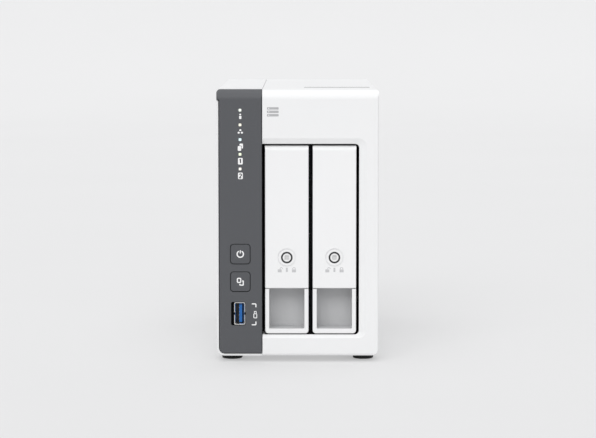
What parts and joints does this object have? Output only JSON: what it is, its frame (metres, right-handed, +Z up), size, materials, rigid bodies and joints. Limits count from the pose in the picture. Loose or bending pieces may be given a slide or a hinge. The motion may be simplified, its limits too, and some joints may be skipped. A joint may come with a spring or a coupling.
{
  "type": "network attached storage",
  "caption": "Upright desktop network storage box with front drive trays, a dark control panel with lights, buttons and a USB port, and a fan at the rear.",
  "frame": {"origin": "on the floor, under the middle of the box", "axes": "+Z up, the front with the drive trays faces -Y, +X is to the right seen from the front"},
  "size_m": [0.102, 0.225, 0.172],
  "materials": {
    "shell_white": "fine satin moulded ABS",
    "panel_grey": "fine satin moulded ABS",
    "button_grey": "satin moulded ABS",
    "black_plastic": "matte moulded nylon",
    "foot_rubber": "matte rubber",
    "black_steel": "black powder coat",
    "rear_steel": "fine off-white powder coat",
    "board_green": "solder-masked glass laminate",
    "zinc": "zinc plated",
    "black_screw": "black oxide",
    "brass": "turned brass",
    "socket_steel": "nickel plated sheet",
    "usb_blue": "moulded insulator",
    "gold_contact": "gold plated",
    "chip_black": "epoxy package",
    "fin_aluminium": "natural extruded",
    "cell_steel": "polished stainless",
    "cable_black": "flexible vinyl",
    "light_pipe": "clear acrylic",
    "led_yellow": "resin",
    "drive_cast": "die cast",
    "drive_lid": "satin stamped",
    "lock_white": "satin moulded",
    "lock_dark": "satin moulded",
    "pin_steel": "ground"
  },
  "bodies": {
    "chassis": {"left_cover": "shell_white", "right_cover": "shell_white", "feet": "foot_rubber", "control_panel": "panel_grey", "front_bezel": "shell_white", "bay_liner": "black_plastic", "drive_cage": "black_steel", "tray_guides": "black_plastic", "sata_sockets": "chip_black", "backplane_board": "board_green", "backplane_screws": "zinc", "cage_screws": "zinc", "rear_panel": "rear_steel", "rear_panel_screws": "black_screw", "fan_screws": "black_screw", "fan_frame": "black_plastic", "fan_lead": "cable_black", "main_board": "board_green", "board_standoffs": "brass", "board_screws": "zinc", "processor": "chip_black", "heatsink": "fin_aluminium", "memory_chips": "chip_black", "board_connector": "black_plastic", "clock_battery": "cell_steel", "lan_jacks": "socket_steel", "lan_contacts": "gold_contact", "rear_usb_shells": "socket_steel", "rear_usb_inserts": "usb_blue", "dc_jack": "black_plastic", "front_usb_shell": "socket_steel", "front_usb_insert": "usb_blue", "front_board": "board_green", "tact_switches": "chip_black", "light_pipes": "light_pipe", "status_leds": "led_yellow"},
    "power_button": {"power_button": "button_grey", "power_switch_plunger": "chip_black"},
    "copy_button": {"copy_button": "button_grey", "copy_switch_plunger": "chip_black"},
    "reset_button": {"reset_button": "black_plastic"},
    "fan_rotor": {"fan_rotor": "black_plastic"},
    "tray_1": {"tray_1_frame": "shell_white", "tray_1_lever_pin": "pin_steel", "tray_1_drive_clips": "black_plastic", "tray_1_drive_body": "drive_cast", "tray_1_drive_cover": "drive_lid", "tray_1_drive_board": "board_green"},
    "lever_1": {"tray_1_lever": "shell_white", "tray_1_lock_collar": "lock_dark"},
    "lock_1": {"tray_1_lock_barrel": "lock_white"},
    "tray_2": {"tray_2_frame": "shell_white", "tray_2_lever_pin": "pin_steel", "tray_2_drive_clips": "black_plastic", "tray_2_drive_body": "drive_cast", "tray_2_drive_cover": "drive_lid", "tray_2_drive_board": "board_green"},
    "lever_2": {"tray_2_lever": "shell_white", "tray_2_lock_collar": "lock_dark"},
    "lock_2": {"tray_2_lock_barrel": "lock_white"}
  },
  "joints": [
    {"name": "power_button_press", "type": "slide", "parent": "chassis", "child": "power_button", "axis": [0, 1, 0], "range_m": [0, 0.0008], "stiffness_N_per_m": 1000, "springref_m": -0.0005},
    {"name": "copy_button_press", "type": "slide", "parent": "chassis", "child": "copy_button", "axis": [0, 1, 0], "range_m": [0, 0.0008], "stiffness_N_per_m": 1000, "springref_m": -0.0005},
    {"name": "reset_button_press", "type": "slide", "parent": "chassis", "child": "reset_button", "axis": [0, -1, 0], "range_m": [0, 0.0006], "stiffness_N_per_m": 1000, "springref_m": -0.0005},
    {"name": "fan_spin", "type": "hinge", "parent": "chassis", "child": "fan_rotor", "pos_m": [0.0088, 0.0995, 0.088], "axis": [0, 1, 0], "continuous": true},
    {"name": "tray_1_slide", "type": "slide", "parent": "chassis", "child": "tray_1", "axis": [0, -1, 0], "range_m": [0, 0.185]},
    {"name": "tray_1_lever_hinge", "type": "hinge", "parent": "tray_1", "child": "lever_1", "pos_m": [-0.00685, -0.1073, 0.13255], "axis": [-1, 0, 0], "range_deg": [0, 60]},
    {"name": "tray_1_lock_turn", "type": "hinge", "parent": "lever_1", "child": "lock_1", "pos_m": [-0.00685, -0.1087, 0.06635], "axis": [0, 1, 0], "range_deg": [0, 90]},
    {"name": "tray_2_slide", "type": "slide", "parent": "chassis", "child": "tray_2", "axis": [0, -1, 0], "range_m": [0, 0.185]},
    {"name": "tray_2_lever_hinge", "type": "hinge", "parent": "tray_2", "child": "lever_2", "pos_m": [0.02315, -0.1073, 0.13255], "axis": [-1, 0, 0], "range_deg": [0, 60]},
    {"name": "tray_2_lock_turn", "type": "hinge", "parent": "lever_2", "child": "lock_2", "pos_m": [0.02315, -0.1087, 0.06635], "axis": [0, 1, 0], "range_deg": [0, 90]}
  ]
}
